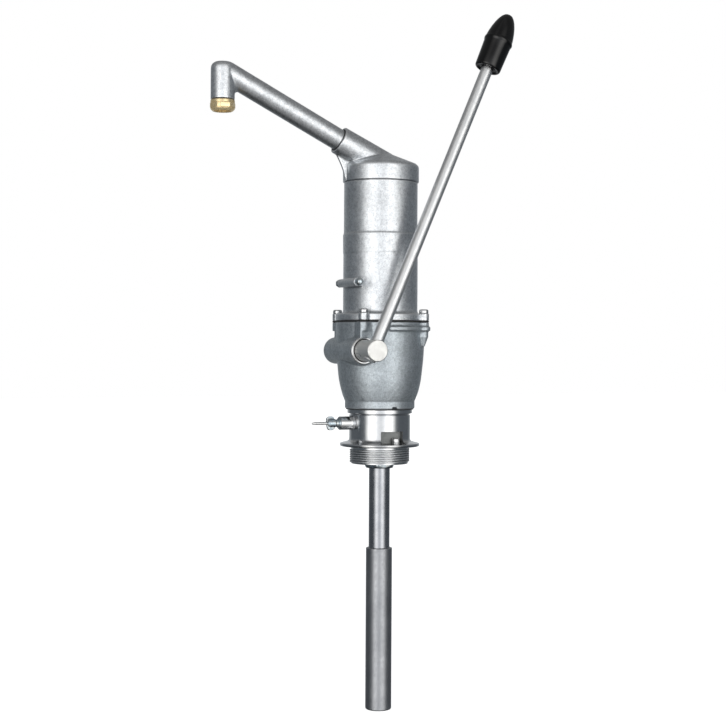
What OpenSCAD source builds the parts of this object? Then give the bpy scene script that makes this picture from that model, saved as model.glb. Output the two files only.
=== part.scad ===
// Hand well pump head with riser, cylinder, spout and side lever.
// Z = 0 is the underside of the round flange that rests on the well pipe.
// +Z is up the pump axis, the lever shaft points to -Y and the spout to -X.

/* [Well connection] */
// Outside radius of the well thread over its crests
thread_r = 40; // [36:0.5:44]
// Pitch of the well thread
thread_pitch = 3; // [2.5:0.5:3.5]
// Length from the seat to the end of the well thread
thread_len = 22.8; // [22:0.2:26]
// Radius of the round flange that rests on the well pipe
seat_r = 53.4; // [48:0.1:60]

/* [Pump head] */
// Outside radius of the neck above the flange
neck_r = 40.8; // [40:0.2:44]
// Radius of the water way through the neck
neck_bore_r = 25; // [20:1:26]
// Outside radius of the upper casing
casing_r = 49.85; // [48:0.05:52]
// Thickness of the upper casing's wall
casing_wall = 5.35; // [4:0.05:6]
// Height of the top edge of the upper casing
casing_top = 352.4; // [340:0.2:380]
// Height of the gasket face between the bowl and the casing
joint_z = 165.8; // [164:0.2:168]
// Thickness of the flange gasket
gasket_t = 1.6; // [0.8:0.1:2]
// Distance of each flange bolt from the axis along X and along Y
bolt_offset = 43.5; // [42:0.5:46]

/* [Lever and crank] */
// Distance of the lever shaft's axis from the pump axis, which is the crank's radius
crank_r = 44.5; // [42:0.5:46]
// Height of the lever shaft's axis
shaft_z = 127.8; // [124:0.2:132]
// Lean of the lever from upright in the rest pose
lever_lean = 23.6; // [15:0.1:30]
// Length of the lever from the shaft axis to the grip's tip
lever_len = 489.5; // [420:0.5:520]
// Radius of the lever rod
lever_r = 8; // [6:0.5:9]

/* [Spout] */
// Slope of the spout above level
spout_slope = 26.1; // [20:0.1:32]
// Distance from the pump axis to the nozzle's axis
spout_reach = 223; // [180:1:260]
// Outside radius of the spout pipe
spout_r = 14.4; // [13:0.1:16]
// Wall thickness of the spout pipe
spout_wall = 2.6; // [2:0.1:3]

/* [Below ground] */
// Outside radius of the riser pipe
riser_r = 14; // [12:0.5:15]
// Outside radius of the pump cylinder
cylinder_r = 17.5; // [17:0.1:20]
// Height of the cylinder's shoulder
shoulder_z = -135.3; // [-200:0.1:-120]
// Height of the cylinder's lower end
foot_z = -351.4; // [-420:0.1:-340]

/* [Hidden] */
$fn = 96;
eps = 0.5;

// Rest pose of the crank and of what it carries
crank_pin_r = 6;
crank_pin_z = shaft_z - crank_r * sin(lever_lean);
// The slot's middle sits above the pin at rest, so that the gap is shared over the stroke
slot_z = crank_pin_z + 0.41;
slot_gap = 0.8;
lever_y = -76.8;
hub_end_y = -91;
shaft_end = -68;
hub_r = 14;
journal_r = 10;
seal_face_y = -47.6;

// Vertical landmarks of the head
neck_top = 43.4;
seam_z = 49.6;
bowl_z = 51;
spigot_top = 60;
casing_foot = joint_z + gasket_t;
flange_top = 177;
spigot_bore_r = 41.5;
bolt_r = 3;
bolt_lug_r = 6.9;

// Spout frame: the pipe's axis meets the pump axis at spout_root_z
spout_root_z = 376;
elbow_z = spout_root_z + spout_reach * tan(spout_slope);
elbow_top = 496;
elbow_round = 8.5;
leg_r = 15.4;
nozzle_top = 446.9;
nozzle_foot = 432.7;
washer_t = 1;
collar_end = 61.6 / cos(spout_slope);

// Piston and valve heights at rest
rod_r = 5;
rod_tip_r = 4;
rod_step_z = -236;
piston_top = -244;
piston_foot = -262;
bore_r = cylinder_r - 2;
valve_lift = 3;
foot_seat_z = -325;
foot_lift = 4;

drain_z = 31.6;
lug_z = 217;
lug_x = -53.5;
lug_front = -46;
lug_back = 8;

cast = [0.70, 0.71, 0.72];
machined = [0.80, 0.81, 0.82];
steel = [0.74, 0.75, 0.77];
zinc = [0.72, 0.78, 0.82];
brass = [0.86, 0.68, 0.32];
bronze = [0.70, 0.52, 0.30];
black = [0.05, 0.05, 0.055];
nylon = [0.86, 0.85, 0.80];

// A solid turned about Z from an outline of [radius, height] points
module turned(outline) { rotate_extrude() polygon(outline); }

// A tube standing on z
module tube(r_out, r_in, z, h) {
  translate([0, 0, z]) difference() {
    cylinder(r = r_out, h = h);
    translate([0, 0, -eps]) cylinder(r = r_in, h = h + 2 * eps);
  }
}

// Children that lie along +Z are laid along +Y, from y, at x and z
module along_y(x, y, z) { translate([x, y, z]) rotate([-90, 0, 0]) children(); }

// Children that lie along +Z are laid along -X, from x, at z
module along_minus_x(x, z) { translate([x, 0, z]) rotate([0, -90, 0]) children(); }

module hex(across_flats, h) { cylinder(r = across_flats / sqrt(3), h = h, $fn = 6); }

// Children drawn up the +Z axis follow the lever from its shaft axis
module on_lever() { translate([-crank_r, lever_y, shaft_z]) rotate([0, lever_lean, 0]) children(); }

// Children drawn along +X follow the crank from its shaft axis
module on_crank() { translate([-crank_r, 0, shaft_z]) rotate([0, lever_lean, 0]) children(); }

// Children drawn up the +Z axis follow the spout from the pump axis
module on_spout() { translate([0, 0, spout_root_z]) rotate([0, spout_slope - 90, 0]) children(); }

module at_bolts() {
  for (x = [-1, 1], y = [-1, 1]) translate([x * bolt_offset, y * bolt_offset, 0]) children();
}

function arc(x, z, r, from, to, steps = 5) =
  [for (i = [0:steps]) let (a = from + (to - from) * i / steps) [x + r * cos(a), z + r * sin(a)]];

// ---- Fixed head -------------------------------------------------------------

module upper_casing() {
  plate_r = 59.5;
  band_low = 258;
  band_top = 282.7;
  color(cast) difference() {
    union() {
      turned([[0, casing_foot], [plate_r, casing_foot], [plate_r, flange_top - 1],
        [plate_r - 1, flange_top], [casing_r + 3, flange_top], [casing_r + 0.8, flange_top + 1],
        [casing_r, flange_top + 3.4], [casing_r, band_low - 0.5], [casing_r + 0.45, band_low],
        [casing_r + 0.45, band_top], [casing_r - 0.6, band_top + 0.8], [casing_r - 0.6, casing_top],
        [45.6, casing_top], [45.6, 357], [43.8, 357], [43.8, 360], [45.6, 360], [45.6, 363],
        [44.6, 363], [44.6, 364.8], [45.6, 364.8], [45.6, 367.4], [45, 368], [0, 368]]);
      at_bolts() translate([0, 0, casing_foot]) cylinder(r = bolt_lug_r, h = flange_top - casing_foot + 0.6);
      // Stay lug: a horizontal boss beside the casing with a web back to it
      along_y(lug_x, lug_front, lug_z) cylinder(r = 5.7, h = lug_back - lug_front);
      translate([0, 0, lug_z - 4.6]) linear_extrude(9.2)
        polygon([[lug_x - 2, lug_back], [lug_x - 2, lug_front], [-49, lug_front], [-41, -34], [-40, lug_back]]);
    }
    translate([0, 0, casing_foot - eps]) cylinder(r = casing_r - casing_wall, h = 178);
    translate([0, 0, casing_foot]) cylinder(r = spigot_bore_r, h = 240);
    at_bolts() translate([0, 0, casing_foot - eps]) cylinder(r = bolt_r + 0.3, h = 20);
    along_y(lug_x, lug_front - eps, lug_z) cylinder(r = 3, h = 66);
    // Flat for the stay's nut
    translate([-62, lug_back, lug_z - 7.5]) cube([13.7, 12, 15]);
  }
}

module casing_stay_bolt() {
  head_len = 11.5;
  color(zinc) {
    along_y(lug_x, lug_front - head_len, lug_z) union() {
      turned(concat([[0, 0]], arc(2.4, 2.4, 2.4, -90, 0), [[4.8, head_len - 0.8], [4.2, head_len], [0, head_len]]));
      translate([0, 0, head_len]) cylinder(r = 3, h = 64);
    }
  }
}

module casing_stay_nut() {
  color(zinc) along_y(lug_x, lug_back, lug_z) difference() {
    rotate([0, 0, 30]) hex(10, 7);
    translate([0, 0, -eps]) cylinder(r = 3, h = 8);
  }
}

module cap_seal() { color(black) tube(45.85, 43.8, 357.3, 2.4); }

module cap_snap_ring() { color(steel) tube(46.5, 44.6, 363.2, 1.4); }

module flange_gasket() {
  color(black) difference() {
    translate([0, 0, joint_z]) union() {
      cylinder(r = 59.6, h = gasket_t);
      at_bolts() cylinder(r = bolt_lug_r + 0.2, h = gasket_t);
    }
    translate([0, 0, joint_z - eps]) cylinder(r = 53.5, h = gasket_t + 1);
    at_bolts() translate([0, 0, joint_z - eps]) cylinder(r = bolt_r + 0.3, h = gasket_t + 1);
  }
}

module flange_bolts() {
  head_z = flange_top + 0.6;
  color(steel) at_bolts() difference() {
    union() {
      translate([0, 0, 148]) cylinder(r = bolt_r, h = head_z - 147);
      turned([[0, head_z], [6.2, head_z], [6.2, head_z + 3.5], [5.6, head_z + 4.7], [4.2, head_z + 5.2],
        [0, head_z + 5.2]]);
    }
    translate([0, 0, head_z + 2.4]) hex(5, 4);
  }
}

module bowl_outside() {
  turned([[0, bowl_z], [46.2, bowl_z], [46.7, bowl_z + 0.6], [46.7, 60], [46.1, 61], [47.4, 62], [49.8, 68.3],
    [51.9, 75], [53.5, 81.6], [54.8, 88.4], [55.7, 95], [56.4, 102], [57.1, 108.5], [57.7, 115], [58.3, 122],
    [58.8, 130], [59.1, 140], [59.2, joint_z], [0, joint_z]]);
}

// Half of the flange's rim stands out as a ledge on the side away from the shaft
module bowl_ledge() {
  ledge_z = 154.2;
  ledge_h = 5.2;
  intersection() {
    translate([0, 0, ledge_z]) union() {
      cylinder(r = 62.2, h = ledge_h);
      for (y = [-1, 1]) translate([bolt_offset, y * bolt_offset, 0]) cylinder(r = 8.9, h = ledge_h);
    }
    translate([-14, -80, ledge_z - 1]) cube([100, 160, ledge_h + 2]);
  }
}

module pump_bowl() {
  boss_r = 18;
  boss_end = 50;
  bush_bore_r = 13;
  window_r = 14.5;
  window_half = 14;
  color(cast) difference() {
    union() {
      difference() {
        union() {
          bowl_outside();
          bowl_ledge();
          at_bolts() translate([0, 0, 154]) cylinder(r = bolt_lug_r, h = joint_z - 154);
          // Tapered bosses under the ledge
          for (y = [-1, 1]) translate([bolt_offset, y * bolt_offset, 0]) {
            translate([0, 0, 146]) cylinder(r = 6.2, h = 9);
            translate([0, 0, 133.5]) cylinder(r1 = 1.5, r2 = 6.2, h = 13);
          }
          // Cheeks between the flange and the shaft boss
          for (y = [-48.4, 22.6]) translate([0, y, 0]) rotate([-90, 0, 0]) linear_extrude(16.4)
            polygon([[-50, -joint_z], [-27, -joint_z], [-34, -140], [-34, -130], [-50, -130]]);
        }
        // The water space inside
        turned([[0, bowl_z - eps], [38, bowl_z - eps], [38, 61.5], [42, 67], [46, 77], [49.5, 90],
          [52.3, 104], [53.5, 118], [53.5, joint_z + eps], [0, joint_z + eps]]);
      }
      // Shaft boss, with its two bearing tubes running on inside the bowl
      along_y(-crank_r, -48.4, shaft_z) turned(concat([[0, 0], [boss_r - 1.2, 0], [boss_r, 1.2]],
        arc(boss_r - 4, 94.4, 4, 0, 90), [[0, 98.4]]));
    }
    // Room for the crank
    along_y(-crank_r, -window_half, shaft_z) cylinder(r = window_r, h = 2 * window_half);
    translate([-crank_r, -window_half, shaft_z - 30]) cube([60, 2 * window_half, 60]);
    along_y(-crank_r, -42, shaft_z) cylinder(r = bush_bore_r, h = 84);
    along_y(-crank_r, -52, shaft_z) cylinder(r = 15.3, h = 10);
    at_bolts() translate([0, 0, 147]) cylinder(r = bolt_r, h = 20);
    translate([-2.8, -48, bowl_z - eps]) cube([7, 5, 3]);
  }
}

module bush(y, h) {
  color(bronze) along_y(-crank_r, y, shaft_z) difference() {
    cylinder(r = 13, h = h);
    translate([0, 0, -eps]) cylinder(r = journal_r + 0.04, h = h + 1);
  }
}

module front_bush() { bush(-42, 29); }

module rear_bush() { bush(13, 29); }

module shaft_seal() {
  color(black) along_y(-crank_r, seal_face_y, shaft_z) turned([[hub_r + 0.08, 0], [15.3, 0], [15.3, 5.6],
    [journal_r + 0.08, 5.6], [journal_r + 0.08, 2.8], [hub_r + 0.08, 2.8]]);
}

module bowl_seal() { color(black) tube(45.2, 38, seam_z, bowl_z - seam_z); }

module neck_base() {
  plate_z = -12.8;
  relief = 1.6;
  turns = 6;
  first = -2 - (turns + 0.3) * thread_pitch;
  teeth = [for (i = [0:turns], k = [0:3]) let (z = first + i * thread_pitch)
    k == 0 ? [thread_r, z] : k == 1 ? [thread_r, z + 0.9] :
    k == 2 ? [thread_r - relief, z + 1.8] : [thread_r - relief, z + 2.1]];
  color(machined) difference() {
    union() {
      turned(concat([[0, -thread_len], [thread_r - 1.4, -thread_len], [thread_r, -thread_len + 1.4]], teeth,
        [[thread_r - relief, 0.7], [thread_r + 0.6, 0.7], [thread_r + 0.6, 0], [seat_r - 2.2, 0],
        [seat_r - 0.5, 0.8], [seat_r, 2.8], [seat_r - 0.5, 4.5],
        [47, 6], [43.2, 7], [neck_r, 9.4], [neck_r, neck_top - 1.2], [neck_r - 1.5, neck_top - 0.8],
        [neck_r - 1.5, neck_top], [43.3, neck_top + 1.2], [43.3, seam_z], [38, seam_z], [38, spigot_top],
        [0, spigot_top]]));
      along_minus_x(-30, drain_z) cylinder(r = 8.9, h = 29);
      along_minus_x(-38, drain_z) cylinder(r1 = 10.6, r2 = 8.9, h = 6);
    }
    translate([0, 0, plate_z]) cylinder(r = neck_bore_r, h = 80);
    translate([0, 0, 44]) cylinder(r = 34, h = 20);
    translate([0, 0, -thread_len - eps]) cylinder(r = riser_r, h = 12);
    // Pocket for the lock screw
    translate([-15.5, -60, 4.2]) cube([32.2, 32.6, 17]);
    translate([8.6, -33, -17]) cylinder(r = 3, h = 24);
    // Drain passage, with the needle's seat at its inner end
    along_minus_x(-20, drain_z) cylinder(r = 1.4, h = 30);
    along_minus_x(-41, drain_z) cylinder(r = 5, h = 20);
  }
}

module lock_screw() {
  color(steel) translate([8.6, -33, 0]) difference() {
    union() {
      translate([0, 0, -15]) cylinder(r = 3, h = 20);
      translate([0, 0, 4.2]) cylinder(r = 5.2, h = 1.6);
      turned([[0, 5.8], [5, 5.8], [5, 11.6], [4.4, 12.2], [0, 12.2]]);
    }
    translate([0, 0, 9]) hex(5, 4);
  }
}

module rod_guide() {
  color(machined) difference() {
    translate([0, 0, 44]) union() {
      cylinder(r = 34, h = 5);
      cylinder(r = 11, h = 12);
    }
    translate([0, 0, 43]) cylinder(r = 8, h = 16);
    for (a = [0:60:300]) rotate([0, 0, a + 30]) translate([21.5, 0, 43]) cylinder(r = 7.5, h = 8);
  }
}

module guide_bush() { color(nylon) tube(8, rod_r + 0.05, 42, 15); }

module riser_nut() {
  color(steel) difference() {
    intersection() {
      translate([0, 0, -thread_len - 6]) hex(38, 6);
      turned([[0, -28.8], [18.4, -28.8], [22, -25.6], [22, -22.8], [0, -22.8]]);
    }
    translate([0, 0, -30]) cylinder(r = riser_r, h = 9);
  }
}

module riser_pipe() { color(steel) tube(riser_r, riser_r - 2, -158, 152); }

module cylinder_head() {
  color(steel) turned(concat([[riser_r, shoulder_z], [riser_r + 0.6, shoulder_z]],
    [for (p = arc(cylinder_r - 3, shoulder_z - 5.5, 5.5, 88, 0, 6)) [min(p[0], cylinder_r), p[1]]],
    [[cylinder_r, -142], [bore_r, -142], [bore_r, -160], [riser_r, -160]]));
}

module cylinder_tube() {
  color(steel) turned([[bore_r, -142], [cylinder_r, -142], [cylinder_r, foot_z + 1.5],
    [cylinder_r - 0.5, foot_z + 0.4], [cylinder_r - 1.2, foot_z], [bore_r, foot_z]]);
}

module foot_valve_body() {
  spider_z = foot_seat_z - 13;
  color(bronze) difference() {
    translate([0, 0, spider_z]) cylinder(r = bore_r, h = 13);
    translate([0, 0, spider_z + 4]) cylinder(r = 9, h = 12);
    difference() {
      translate([0, 0, spider_z - eps]) cylinder(r = 9, h = 6);
      translate([-12, -2.6, spider_z - 1]) cube([24, 5.2, 8]);
      translate([0, 0, spider_z - 1]) cylinder(r = 5, h = 8);
    }
    translate([0, 0, spider_z - 1]) cylinder(r = 2.55, h = 20);
  }
}

module intake_strainer() {
  color(steel) difference() {
    translate([0, 0, foot_z + 2]) cylinder(r = bore_r, h = 2);
    for (ring = [1:3], k = [0:ring * 6 - 1]) rotate([0, 0, k * 60 / ring]) translate([ring * 4.2, 0, foot_z])
      cylinder(r = 1.4, h = 6);
  }
}

module drain_body() {
  color(zinc) difference() {
    along_minus_x(-46, drain_z) union() {
      cylinder(r = 5, h = 18.4);
      translate([0, 0, 13]) cylinder(r = 6.6, h = 1.6);
    }
    along_minus_x(-45, drain_z) cylinder(r = 3, h = 17.8);
    along_minus_x(-45, drain_z) cylinder(r = 1.9, h = 21);
    translate([-62, 0, drain_z - 8]) cylinder(r = 0.7, h = 8);
  }
}

// ---- Turning spout ----------------------------------------------------------

module spout_cap() {
  skirt_r = 50.9;
  seat_z = casing_top + 0.3;
  color(cast) difference() {
    union() {
      turned([[0, seat_z], [skirt_r - 0.5, seat_z], [skirt_r, seat_z + 0.5], [skirt_r, 371.8],
        [skirt_r - 0.5, 374], [skirt_r - 2, 375.8], [47.2, 377.2], [0, 396.4]]);
      // Socket for the spout pipe
      intersection() {
        on_spout() translate([0, 0, -17]) cylinder(r1 = 20.7, r2 = 18.75, h = collar_end + 17);
        translate([-90, -30, 372]) cube([140, 60, 60]);
      }
      // Web under the socket
      translate([0, 2.1, 0]) rotate([90, 0, 0]) linear_extrude(4.2)
        polygon([[-45, 392], [-66.2, 388.6], [-62.2, 381.5], [-58.6, 374.5], [-55.7, 367.5], [-53.7, 360.5],
          [-52.2, seat_z + 0.6], [-45, seat_z + 0.6]]);
    }
    // Inside: bore over the casing's spigot, then a domed water space
    turned([[0, seat_z - eps], [45.9, seat_z - eps], [45.9, 362.7], [46.9, 362.7], [46.9, 365.1], [45.9, 365.1],
      [45.9, 370], [41, 375], [0, 389]]);
    on_spout() translate([0, 0, 20]) cylinder(r = spout_r - spout_wall, h = collar_end);
    on_spout() translate([0, 0, collar_end - 18]) cylinder(r = spout_r, h = 30);
  }
}

// The sloping pipe runs into an upright leg with a rounded crown
module spout_outside() {
  difference() {
    on_spout() translate([0, 0, collar_end - 18])
      cylinder(r = spout_r, h = spout_reach / cos(spout_slope) - collar_end + 18);
    translate([-spout_reach - 40, -30, elbow_top - 0.8]) cube([80, 60, 30]);
  }
  translate([-spout_reach, 0, 0]) turned(concat([[0, nozzle_top + washer_t], [leg_r, nozzle_top + washer_t]],
    arc(leg_r - elbow_round, elbow_top - elbow_round, elbow_round, 0, 90), [[0, elbow_top]]));
}

// The water way: two drillings that meet under the elbow
module spout_inside() {
  bore = spout_r - spout_wall;
  on_spout() translate([0, 0, collar_end - 20])
    cylinder(r = bore, h = spout_reach / cos(spout_slope) - collar_end + 20);
  translate([-spout_reach, 0, nozzle_top]) cylinder(r = bore, h = elbow_z - nozzle_top - 4);
}

module spout_pipe() {
  color(cast) difference() {
    spout_outside();
    spout_inside();
  }
}

module spout_seal() {
  color(black) on_spout() tube(15.8, spout_r, collar_end, 0.7);
}

module nozzle_washer() {
  color(black) translate([-spout_reach, 0, 0]) tube(14.4, 11, nozzle_top, washer_t);
}

module nozzle_ring() {
  flats_low = 436.5;
  flats_top = 443;
  collar_r = 15.6;
  band_r = 16.4;
  color(brass) translate([-spout_reach, 0, 0]) difference() {
    union() {
      turned([[0, nozzle_foot], [13, nozzle_foot], [collar_r, nozzle_foot + 2.6], [collar_r, flats_low],
        [13.8, flats_low + 0.4], [13.8, flats_top - 0.4], [collar_r, flats_top], [collar_r, nozzle_top - 0.6],
        [collar_r - 0.6, nozzle_top], [0, nozzle_top]]);
      intersection() {
        translate([0, 0, flats_low - 0.1]) rotate([0, 0, 36]) hex(28.6, flats_top - flats_low + 0.2);
        translate([0, 0, flats_low - 0.1]) cylinder(r = band_r, h = flats_top - flats_low + 0.2);
      }
    }
    translate([0, 0, nozzle_foot - eps]) cylinder(r = 12.06, h = 10 + eps);
    translate([0, 0, nozzle_foot]) cylinder(r = 11, h = 20);
  }
}

// ---- Lever and crank --------------------------------------------------------

module crank_shaft() {
  color(steel) difference() {
    along_y(-crank_r, shaft_end, shaft_z) cylinder(r = journal_r, h = 41.6 - shaft_end);
    on_hub_pin() translate([0, 0, 3]) cylinder(r = 2, h = 20);
    on_crank() translate([-30, 0, 0]) rotate([0, 90, 0]) cylinder(r = 2.5, h = 60);
  }
}

// The direction of the roll pin that fixes the hub, seen along the shaft
module on_hub_pin() { translate([-crank_r, -62, shaft_z]) rotate([0, -119.3, 0]) children(); }

module lever_hub() {
  color(steel) difference() {
    along_y(-crank_r, hub_end_y, shaft_z) turned([[0, 0], [hub_r - 0.9, 0], [hub_r, 0.9],
      [hub_r, -hub_end_y - 45.3], [0, -hub_end_y - 45.3]]);
    along_y(-crank_r, shaft_end - 0.1, shaft_z) cylinder(r = journal_r, h = 30);
    on_lever() translate([0, 0, -30]) cylinder(r = lever_r, h = 60);
    on_hub_pin() cylinder(r = 2, h = 20);
  }
}

module hub_pin() { color(steel) on_hub_pin() tube(2, 1, 3, 10.8); }

module lever_rod() {
  grip_hole = 450;
  color(steel) on_lever() translate([0, 0, -14.6]) turned([[0, 0], [lever_r - 0.8, 0], [lever_r, 0.8],
    [lever_r, grip_hole + 14.6], [0, grip_hole + 14.6]]);
}

module lever_grip() {
  base = lever_len - 81.5;
  color(black) on_lever() translate([0, 0, base]) difference() {
    turned([[0, 0], [15.6, 0], [17.1, 0.9], [17.5, 2.6], [18.5, 37.6], [19.3, 39.2], [19.5, 40.7], [19.2, 42.2],
      [18.6, 43.6], [17.7, 50], [16.1, 58], [13.9, 65.5], [11.3, 72], [8.5, 76.8], [5.4, 80], [2.5, 81.2],
      [0, 81.5]]);
    translate([0, 0, -eps]) cylinder(r = lever_r, h = 450 - base + eps);
  }
}

module crank_arm() {
  half = 12.7;
  fork_gap = 8.6;
  color(steel) difference() {
    on_crank() union() {
      along_y(0, -half, 0) cylinder(r = 13.5, h = 2 * half);
      difference() {
        union() {
          translate([0, -half, -8.5]) cube([crank_r, 2 * half, 17]);
          along_y(crank_r, -half, 0) cylinder(r = 8.5, h = 2 * half);
        }
        translate([15, -fork_gap, -20]) cube([60, 2 * fork_gap, 40]);
      }
    }
    along_y(-crank_r, -20, shaft_z) cylinder(r = journal_r, h = 40);
    on_crank() along_y(crank_r, -20, 0) cylinder(r = 4, h = 40);
    on_crank() translate([-30, 0, 0]) rotate([0, 90, 0]) cylinder(r = 2.5, h = 45.4);
  }
}

module crank_cotter() {
  color(steel) on_crank() translate([-13.4, 0, 0]) rotate([0, 90, 0]) cylinder(r = 2.5, h = 27);
}

module crank_pin() {
  color(steel) on_crank() along_y(crank_r, -12.9, 0) union() {
    cylinder(r = 4, h = 25.8);
    translate([0, 0, 12.9 - 8.5]) cylinder(r = crank_pin_r, h = 17);
  }
}

// ---- Rod and piston ---------------------------------------------------------

module crosshead() {
  slot_half = crank_pin_r + slot_gap;
  wall = 7;
  color(bronze) difference() {
    translate([-22, -8, slot_z - slot_half - wall]) cube([35.5, 16, 2 * (slot_half + wall)]);
    translate([-16, -10, slot_z - slot_half]) cube([23.5, 20, 2 * slot_half]);
    translate([0, 0, slot_z - slot_half - wall - eps]) cylinder(r = rod_r, h = wall + 2 * eps);
  }
}

module pump_rod() {
  top = slot_z - crank_pin_r - slot_gap - 0.4;
  color(steel) union() {
    translate([0, 0, rod_step_z]) cylinder(r = rod_r, h = top - rod_step_z);
    translate([0, 0, -271]) cylinder(r = rod_tip_r, h = rod_step_z + 271 + eps);
  }
}

module valve_stop() {
  color(bronze) difference() {
    union() {
      translate([0, 0, rod_step_z - 2.2]) cylinder(r = 11, h = 2.2);
      translate([0, 0, piston_top]) cylinder(r = 6, h = rod_step_z - 1 - piston_top);
    }
    translate([0, 0, piston_top - eps]) cylinder(r = rod_tip_r, h = 12);
  }
}

module piston_body() {
  color(bronze) difference() {
    turned([[0, piston_foot], [14.4, piston_foot], [15.2, piston_foot + 0.8], [15.2, -258], [12.9, -258],
      [12.9, -254], [15.2, -254], [15.2, -251], [12.9, -251], [12.9, -247], [15.2, -247],
      [15.2, piston_top - 0.6], [14.6, piston_top], [0, piston_top]]);
    translate([0, 0, piston_foot - eps]) cylinder(r = rod_tip_r, h = 20);
    for (a = [0:60:300]) rotate([0, 0, a]) translate([10.3, 0, piston_foot - eps]) cylinder(r = 1.9, h = 20);
  }
}

module piston_cups() {
  color(black) for (z = [-258, -251]) tube(bore_r - 0.05, 12.9, z, 4);
}

module piston_nut() {
  color(steel) translate([0, 0, piston_foot - 6.5]) difference() {
    hex(13, 6.5);
    translate([0, 0, -eps]) cylinder(r = rod_tip_r, h = 8);
  }
}

module piston_valve() { color(black) tube(13.2, 6.06, piston_top, 8 - 2.2 - valve_lift); }

module foot_valve_poppet() {
  stem_foot = foot_seat_z - 13 - foot_lift - 3;
  color(bronze) union() {
    turned([[0, foot_seat_z], [11.5, foot_seat_z], [12, foot_seat_z + 1], [10.5, foot_seat_z + 3.4],
      [3, foot_seat_z + 4], [0, foot_seat_z + 4]]);
    translate([0, 0, stem_foot]) cylinder(r = 2.5, h = foot_seat_z + 1 - stem_foot);
    translate([0, 0, stem_foot]) cylinder(r = 4, h = 3);
  }
}

// ---- Drain cock -------------------------------------------------------------

module drain_nut() {
  nut_x = -64.6;
  color(zinc) difference() {
    union() {
      along_minus_x(nut_x, drain_z) turned([[0, 0], [4.8, 0], [6, 1], [6, 8.6], [4.6, 11.4], [0, 11.4]]);
      translate([nut_x - 2, 0, drain_z]) rotate([-14, 0, 0]) for (side = [-1, 1])
        translate([0, 1.8, side * 4.2]) rotate([90, 0, 0]) linear_extrude(3.6)
          polygon([[0, -side * 2], [0, side * 3.6], [-2.4, side * 4.8], [-7.5, side * 4.8], [-10, side * 3],
            [-10.6, -side * 2]]);
    }
    along_minus_x(nut_x + 1, drain_z) cylinder(r = 1.92, h = 14);
  }
}

module drain_needle() {
  color(steel) along_minus_x(-43, drain_z) turned([[0, 0], [0.9, 0], [1.85, 2.2], [1.85, 50.5], [1.2, 54.6], [0, 55]]);
}

upper_casing();
casing_stay_bolt();
casing_stay_nut();
cap_seal();
cap_snap_ring();
flange_gasket();
flange_bolts();
pump_bowl();
front_bush();
rear_bush();
shaft_seal();
bowl_seal();
neck_base();
lock_screw();
rod_guide();
guide_bush();
riser_nut();
riser_pipe();
cylinder_head();
cylinder_tube();
foot_valve_body();
intake_strainer();
drain_body();
spout_cap();
spout_pipe();
spout_seal();
nozzle_washer();
nozzle_ring();
crank_shaft();
lever_hub();
hub_pin();
lever_rod();
lever_grip();
crank_arm();
crank_cotter();
crank_pin();
crosshead();
pump_rod();
valve_stop();
piston_body();
piston_cups();
piston_nut();
piston_valve();
foot_valve_poppet();
drain_nut();
drain_needle();
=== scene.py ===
import math

import bpy
import bmesh
import numpy as np
from mathutils import Matrix, Vector, noise


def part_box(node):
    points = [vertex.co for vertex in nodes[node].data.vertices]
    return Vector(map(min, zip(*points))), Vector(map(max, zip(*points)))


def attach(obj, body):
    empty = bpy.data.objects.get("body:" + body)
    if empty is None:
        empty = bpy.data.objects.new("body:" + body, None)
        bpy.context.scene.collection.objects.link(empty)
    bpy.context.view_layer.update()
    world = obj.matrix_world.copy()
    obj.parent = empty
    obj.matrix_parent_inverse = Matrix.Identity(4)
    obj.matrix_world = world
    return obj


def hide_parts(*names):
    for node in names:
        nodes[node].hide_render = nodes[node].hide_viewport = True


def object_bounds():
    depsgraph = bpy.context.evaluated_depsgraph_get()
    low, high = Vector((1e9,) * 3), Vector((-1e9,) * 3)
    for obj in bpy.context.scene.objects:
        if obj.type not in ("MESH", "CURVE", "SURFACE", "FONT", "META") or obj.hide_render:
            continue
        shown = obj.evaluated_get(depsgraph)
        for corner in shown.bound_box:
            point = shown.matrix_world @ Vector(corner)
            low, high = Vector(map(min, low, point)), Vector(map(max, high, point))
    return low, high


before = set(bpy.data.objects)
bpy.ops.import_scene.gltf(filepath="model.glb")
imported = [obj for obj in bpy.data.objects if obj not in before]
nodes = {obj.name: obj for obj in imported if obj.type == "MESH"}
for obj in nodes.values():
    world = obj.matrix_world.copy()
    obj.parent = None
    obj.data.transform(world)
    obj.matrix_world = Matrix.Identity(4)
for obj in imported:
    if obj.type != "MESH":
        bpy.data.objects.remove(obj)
bpy.context.view_layer.update()
cad_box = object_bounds()

MM = 0.001


def box_mm(node):
    """Lowest and highest corner of a CAD node, in millimetres."""
    low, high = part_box(node)
    return np.array(low) / MM, np.array(high) / MM


# ---- Camera, light and floor -------------------------------------------------

VIEW_AZIMUTH = math.radians(-24)
TO_CAMERA = Vector((math.sin(VIEW_AZIMUTH), -math.cos(VIEW_AZIMUTH), 0))
TO_RIGHT = Vector((math.cos(VIEW_AZIMUTH), math.sin(VIEW_AZIMUTH), 0))

# Distances of the camera and the floor are in metres.
CAMERA_DISTANCE = 1.943
CAMERA_TO_LEFT = 0.0228
CAMERA_HEIGHT = 0.1286
LIGHT_TURN = math.radians(3)
FLOOR_HALF = 12


def make_camera():
    data = bpy.data.cameras.new("camera")
    data.sensor_width = 36
    data.lens = 71.9
    data.shift_y = -0.0179
    data.clip_start, data.clip_end = 0.05, 50
    camera = bpy.data.objects.new("camera", data)
    camera.location = TO_CAMERA * CAMERA_DISTANCE - TO_RIGHT * CAMERA_TO_LEFT + Vector((0, 0, CAMERA_HEIGHT))
    camera.rotation_euler = (math.radians(90), math.radians(-0.3), VIEW_AZIMUTH)
    bpy.context.scene.collection.objects.link(camera)
    bpy.context.scene.camera = camera


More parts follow.
